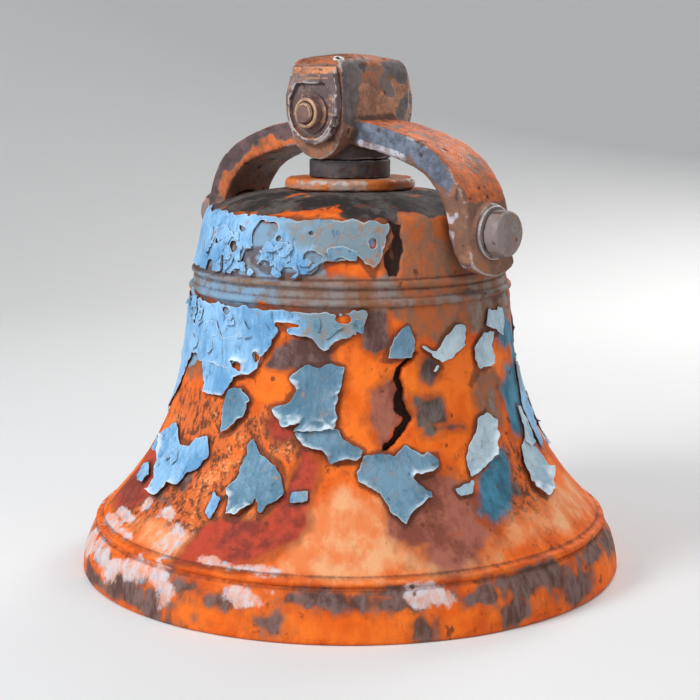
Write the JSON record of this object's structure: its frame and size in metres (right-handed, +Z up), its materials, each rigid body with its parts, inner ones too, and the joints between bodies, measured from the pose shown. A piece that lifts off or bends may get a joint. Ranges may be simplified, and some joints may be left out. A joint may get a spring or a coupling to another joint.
{
  "type": "yard dinner bell",
  "caption": "Cast bell with a flared mouth, hung from a bow bolted to its shoulder, with a bearing hub and pivot pin on top and a swinging clapper inside.",
  "frame": {"origin": "centre of the mouth, in the plane of the rim the bell stands on", "axes": "+Z up the bell's axis, X along the bow, Y along the pivot pin with the oiled end at -Y"},
  "size_m": [0.38, 0.38, 0.3535],
  "materials": {
    "shell_paint": "peeling blue paint over orange rust",
    "bow_iron": "rusted casting with worn edges",
    "hub_iron": "rusted casting with worn edges",
    "neck_iron": "dull grey casting",
    "bolt_steel": "worn and lightly rusted",
    "pin_steel": "brown rust film",
    "bronze": "oiled, dull",
    "clapper_iron": "dark, dull"
  },
  "bodies": {
    "bell": {"bell_shell": "shell_paint", "yoke": "bow_iron", "front_bearing_cap": "hub_iron", "rear_bearing_cap": "hub_iron", "front_bush": "bronze", "rear_bush": "bronze", "oil_cup": "bronze", "crown_plate": "neck_iron", "neck_spacer": "neck_iron", "crown_stud": "bolt_steel", "crown_washer": "bolt_steel", "crown_nut": "bolt_steel", "right_side_bolt": "bolt_steel", "left_side_bolt": "bolt_steel", "right_bolt_washer": "bolt_steel", "left_bolt_washer": "bolt_steel", "right_saddle_washer": "bow_iron", "left_saddle_washer": "bow_iron", "clapper_pin": "bolt_steel", "clapper_pin_washer": "bolt_steel", "split_pin": "bolt_steel"},
    "pin": {"pivot_pin": "pin_steel", "front_pin_washer": "pin_steel", "front_collar": "pin_steel", "front_grub_screw": "bolt_steel", "rear_pin_washer": "pin_steel", "rear_collar": "pin_steel", "rear_grub_screw": "bolt_steel"},
    "clapper": {"clapper_rod": "clapper_iron", "clapper_ball": "clapper_iron", "ball_rivet": "bolt_steel"}
  },
  "joints": [
    {"name": "bell_swing", "type": "hinge", "parent": "bell", "child": "pin", "pos_m": [0, 0, 0.314], "axis": [0, 1, 0], "continuous": true},
    {"name": "clapper_swing", "type": "hinge", "parent": "bell", "child": "clapper", "pos_m": [0, 0, 0.2141], "axis": [0, 1, 0], "range_deg": [-36, 36]}
  ]
}
